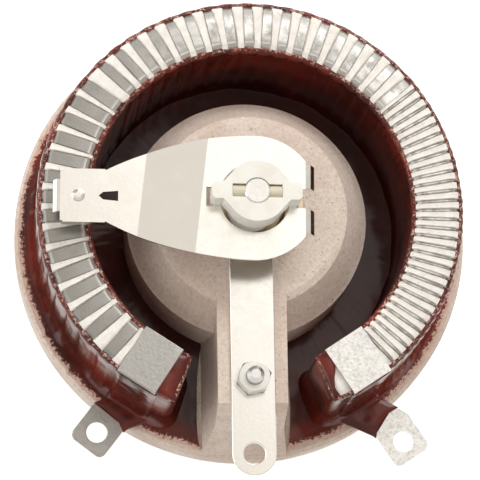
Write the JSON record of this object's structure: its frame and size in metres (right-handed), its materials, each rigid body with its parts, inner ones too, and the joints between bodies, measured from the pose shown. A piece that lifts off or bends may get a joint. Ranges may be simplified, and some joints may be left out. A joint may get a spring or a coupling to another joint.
{
  "type": "wirewound rheostat",
  "caption": "Open disc rheostat: graded ribbon winding on a ceramic ring, rotary wiper over a ceramic hub, drilled strip terminals and a bushed control shaft.",
  "frame": {"origin": "centre of the mounting face, on the shaft axis, where the threaded bush leaves the ceramic base", "axes": "+Z runs along the shaft axis to the rear, winding and wiper side; -Y points along the centre terminal; the wiper points to -X at rest"},
  "size_m": [0.11, 0.118, 0.0831],
  "materials": {
    "ceramic": "unglazed pitted steatite ceramic",
    "cement": "matte mineral cement",
    "resistance_alloy": "drawn resistance ribbon",
    "enamel": "glossy red-brown enamel",
    "tinned_sheet": "tinned sheet",
    "nickel_sheet": "bright nickel plate",
    "plated_steel": "zinc plated",
    "brass": "turned brass",
    "turned_steel": "turned and polished",
    "white_moulding": "smooth white insulating moulding",
    "insulating_pin": "glass-fibre rod",
    "bronze": "rolled phosphor bronze",
    "graphite": "copper-graphite block"
  },
  "bodies": {
    "root": {"ceramic_base": "ceramic", "core_bed": "cement", "winding_core": "ceramic", "ribbon_wide": "resistance_alloy", "ribbon_medium": "resistance_alloy", "wire_fine": "resistance_alloy", "track_cement": "cement", "enamel_coat": "enamel", "start_terminal": "tinned_sheet", "end_terminal": "tinned_sheet", "centre_terminal": "nickel_sheet", "terminal_screw": "plated_steel", "terminal_washer": "plated_steel", "terminal_nut": "plated_steel", "stop_pin": "plated_steel", "shaft_bush": "brass", "bush_nut": "brass", "locating_pin": "plated_steel"},
    "wiper": {"shaft": "turned_steel", "thrust_washer": "brass", "retaining_clip": "plated_steel", "drive_boss": "white_moulding", "cross_pin": "insulating_pin", "wiper_arm": "nickel_sheet", "contact_spring": "bronze", "brush_holder": "nickel_sheet", "contact_brush": "graphite", "brush_rivet": "nickel_sheet"}
  },
  "joints": [
    {"name": "wiper_turn", "type": "hinge", "parent": "root", "child": "wiper", "pos_m": [0, 0, 0], "axis": [0, 0, 1], "range_deg": [-219, 41]}
  ]
}
